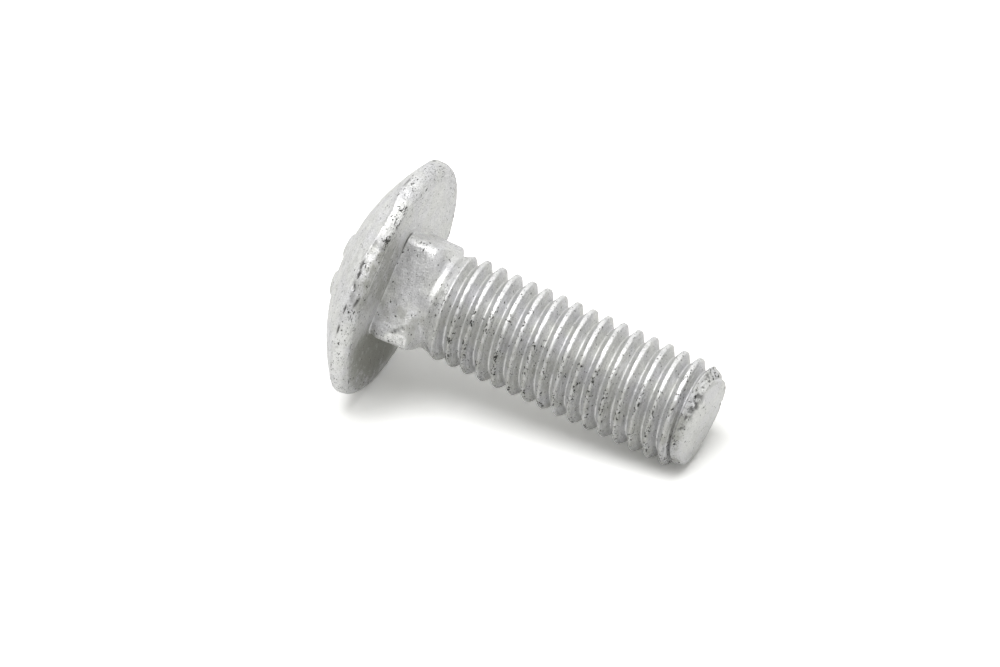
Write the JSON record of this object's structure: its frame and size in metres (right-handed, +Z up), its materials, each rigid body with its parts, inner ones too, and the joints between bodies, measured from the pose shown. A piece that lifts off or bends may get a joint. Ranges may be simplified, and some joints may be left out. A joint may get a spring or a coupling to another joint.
{
  "type": "carriage bolt",
  "caption": "Domed round-head carriage bolt with a square neck that keeps it from turning and a coarse right-hand machine thread, hot-dip galvanised, lying on its side.",
  "frame": {"origin": "on the surface that the bolt lies on, below the middle of its bounding box", "axes": "+X along the lying bolt from the head to the tip, whose axis runs down towards the tip; +Z up"},
  "size_m": [0.036, 0.0222, 0.0218],
  "materials": {
    "galvanised_steel": "hot-dip zinc, matt and slightly lumpy"
  },
  "bodies": {
    "root": {"carriage_bolt": "galvanised_steel"}
  },
  "joints": []
}
